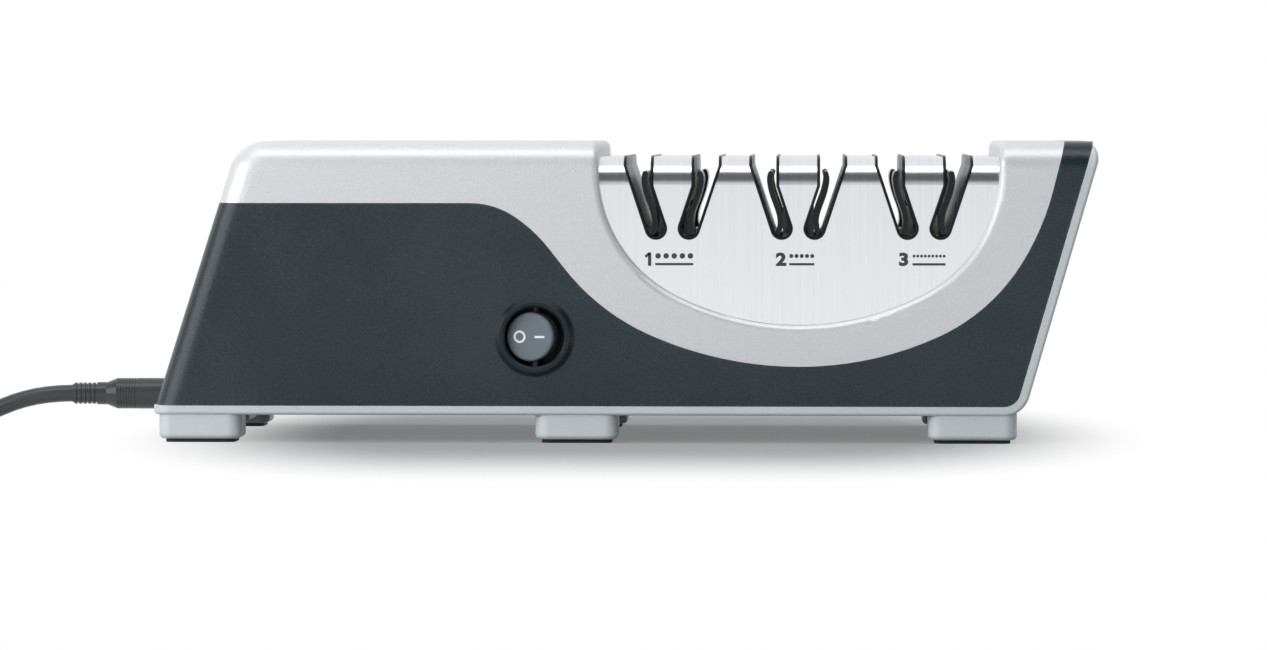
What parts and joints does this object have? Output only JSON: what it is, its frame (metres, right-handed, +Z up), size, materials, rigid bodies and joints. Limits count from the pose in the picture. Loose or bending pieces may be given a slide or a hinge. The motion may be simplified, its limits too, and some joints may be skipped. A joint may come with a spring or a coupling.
{
  "type": "electric knife sharpener",
  "caption": "Countertop electric knife sharpener with a dark housing, silver cover, brushed steel dome with slanted blade slots, round rocker switch, feet and mains cord.",
  "frame": {"origin": "middle of the sharpener's footprint, on the surface it stands on, measured without the cord", "axes": "+X along the length towards the grinding stages, +Y to the back, +Z up"},
  "size_m": [0.4807, 0.154, 0.1026],
  "materials": {
    "base": "fine matt light grey",
    "rubber": "matt black rubber",
    "housing": "fine grained anthracite",
    "cover": "satin silver with a fine sparkle",
    "steel": "fine vertical brushing",
    "black_plastic": "smooth black",
    "spring_plastic": "smooth black, slightly glossy",
    "switch_ring": "satin black",
    "switch_cap": "satin dark grey",
    "brass": "bare, plated",
    "cord_rubber": "matt black",
    "screw_steel": "zinc plated",
    "zinc_steel": "zinc plated sheet steel",
    "bearing_steel": "ground steel",
    "ferrite": "dark grey, matt",
    "copper": "enamelled copper",
    "white_plastic": "natural nylon",
    "board": "bare laminate",
    "coarse_grit": "steel with coarse grit",
    "fine_grit": "steel with fine grit",
    "polishing_grit": "steel with a smooth pale coating"
  },
  "bodies": {
    "casing": {"base_tray": "base", "rubber_feet": "rubber", "main_housing": "housing", "top_cover": "cover", "steel_cover": "steel", "stage_frame": "black_plastic", "switch_bezel": "switch_ring", "switch_body": "black_plastic", "switch_terminals": "brass", "strain_relief": "cord_rubber", "cord_clamp": "black_plastic", "case_screws": "screw_steel", "inner_screws": "screw_steel", "motor_can": "zinc_steel", "motor_end_bell": "black_plastic", "motor_magnets": "ferrite", "motor_bearings": "bearing_steel", "motor_brushes": "ferrite", "motor_cradle": "black_plastic", "motor_straps": "zinc_steel", "bearing_blocks": "black_plastic", "bearing_caps": "black_plastic", "shaft_bearings": "bearing_steel", "rectifier_board": "board", "board_spacers": "white_plastic", "board_components": "ferrite", "internal_wires": "cord_rubber", "power_cord": "cord_rubber", "cord_coil": "cord_rubber", "cord_tail": "cord_rubber", "power_plug": "cord_rubber", "plug_pins": "brass", "guide_insert_1": "black_plastic", "guide_insert_2": "black_plastic", "guide_insert_3": "black_plastic"},
    "rocker": {"switch_rocker": "switch_cap"},
    "drive": {"motor_shaft": "bearing_steel", "rotor_core": "zinc_steel", "rotor_windings": "copper", "commutator": "copper", "cooling_fan": "white_plastic", "coupling_motor_half": "white_plastic", "coupling_spider": "cord_rubber", "coupling_shaft_half": "white_plastic", "grinding_shaft": "bearing_steel", "drive_pins": "bearing_steel", "retaining_rings": "bearing_steel", "disc_springs": "bearing_steel"},
    "coarse_disc_left": {"coarse_disc_left": "coarse_grit"},
    "guide_spring_1_left": {"guide_spring_1_left": "spring_plastic"},
    "coarse_disc_right": {"coarse_disc_right": "coarse_grit"},
    "guide_spring_1_right": {"guide_spring_1_right": "spring_plastic"},
    "fine_disc_left": {"fine_disc_left": "fine_grit"},
    "guide_spring_2_left": {"guide_spring_2_left": "spring_plastic"},
    "fine_disc_right": {"fine_disc_right": "fine_grit"},
    "guide_spring_2_right": {"guide_spring_2_right": "spring_plastic"},
    "polishing_disc_left": {"polishing_disc_left": "polishing_grit"},
    "guide_spring_3_left": {"guide_spring_3_left": "spring_plastic"},
    "polishing_disc_right": {"polishing_disc_right": "polishing_grit"},
    "guide_spring_3_right": {"guide_spring_3_right": "spring_plastic"}
  },
  "joints": [
    {"name": "switch_rock", "type": "hinge", "parent": "casing", "child": "rocker", "pos_m": [-0.0313, -0.048, 0.0362], "axis": [0, 0, 1], "range_deg": [0, 30]},
    {"name": "drive_spin", "type": "hinge", "parent": "casing", "child": "drive", "pos_m": [0, 0, 0.056], "axis": [1, 0, 0], "continuous": true},
    {"name": "coarse_disc_left_slide", "type": "slide", "parent": "drive", "child": "coarse_disc_left", "axis": [1, 0, 0], "range_m": [0, 0.0008], "stiffness_N_per_m": 800, "springref_m": -0.002, "deforming": ["disc_springs"]},
    {"name": "guide_spring_1_left_bend", "type": "hinge", "parent": "casing", "child": "guide_spring_1_left", "pos_m": [0.00885, 0, 0.07155], "axis": [0, 1, 0], "range_deg": [0, 2.2], "stiffness_Nm_per_rad": 0.3},
    {"name": "coarse_disc_right_slide", "type": "slide", "parent": "drive", "child": "coarse_disc_right", "axis": [-1, 0, 0], "range_m": [0, 0.0008], "stiffness_N_per_m": 800, "springref_m": -0.002, "deforming": ["disc_springs"]},
    {"name": "guide_spring_1_right_bend", "type": "hinge", "parent": "casing", "child": "guide_spring_1_right", "pos_m": [0.02215, 0, 0.07155], "axis": [0, -1, 0], "range_deg": [0, 2.2], "stiffness_Nm_per_rad": 0.3},
    {"name": "fine_disc_left_slide", "type": "slide", "parent": "drive", "child": "fine_disc_left", "axis": [1, 0, 0], "range_m": [0, 0.0008], "stiffness_N_per_m": 800, "springref_m": -0.002, "deforming": ["disc_springs"]},
    {"name": "guide_spring_2_left_bend", "type": "hinge", "parent": "casing", "child": "guide_spring_2_left", "pos_m": [0.05155, 0, 0.07155], "axis": [0, 1, 0], "range_deg": [0, 2.2], "stiffness_Nm_per_rad": 0.3},
    {"name": "fine_disc_right_slide", "type": "slide", "parent": "drive", "child": "fine_disc_right", "axis": [-1, 0, 0], "range_m": [0, 0.0008], "stiffness_N_per_m": 800, "springref_m": -0.002, "deforming": ["disc_springs"]},
    {"name": "guide_spring_2_right_bend", "type": "hinge", "parent": "casing", "child": "guide_spring_2_right", "pos_m": [0.06485, 0, 0.07155], "axis": [0, -1, 0], "range_deg": [0, 2.2], "stiffness_Nm_per_rad": 0.3},
    {"name": "polishing_disc_left_slide", "type": "slide", "parent": "drive", "child": "polishing_disc_left", "axis": [1, 0, 0], "range_m": [0, 0.0008], "stiffness_N_per_m": 800, "springref_m": -0.002, "deforming": ["disc_springs"]},
    {"name": "guide_spring_3_left_bend", "type": "hinge", "parent": "casing", "child": "guide_spring_3_left", "pos_m": [0.09425, 0, 0.07155], "axis": [0, 1, 0], "range_deg": [0, 2.2], "stiffness_Nm_per_rad": 0.3},
    {"name": "polishing_disc_right_slide", "type": "slide", "parent": "drive", "child": "polishing_disc_right", "axis": [-1, 0, 0], "range_m": [0, 0.0008], "stiffness_N_per_m": 800, "springref_m": -0.002, "deforming": ["disc_springs"]},
    {"name": "guide_spring_3_right_bend", "type": "hinge", "parent": "casing", "child": "guide_spring_3_right", "pos_m": [0.10755, 0, 0.07155], "axis": [0, -1, 0], "range_deg": [0, 2.2], "stiffness_Nm_per_rad": 0.3}
  ]
}
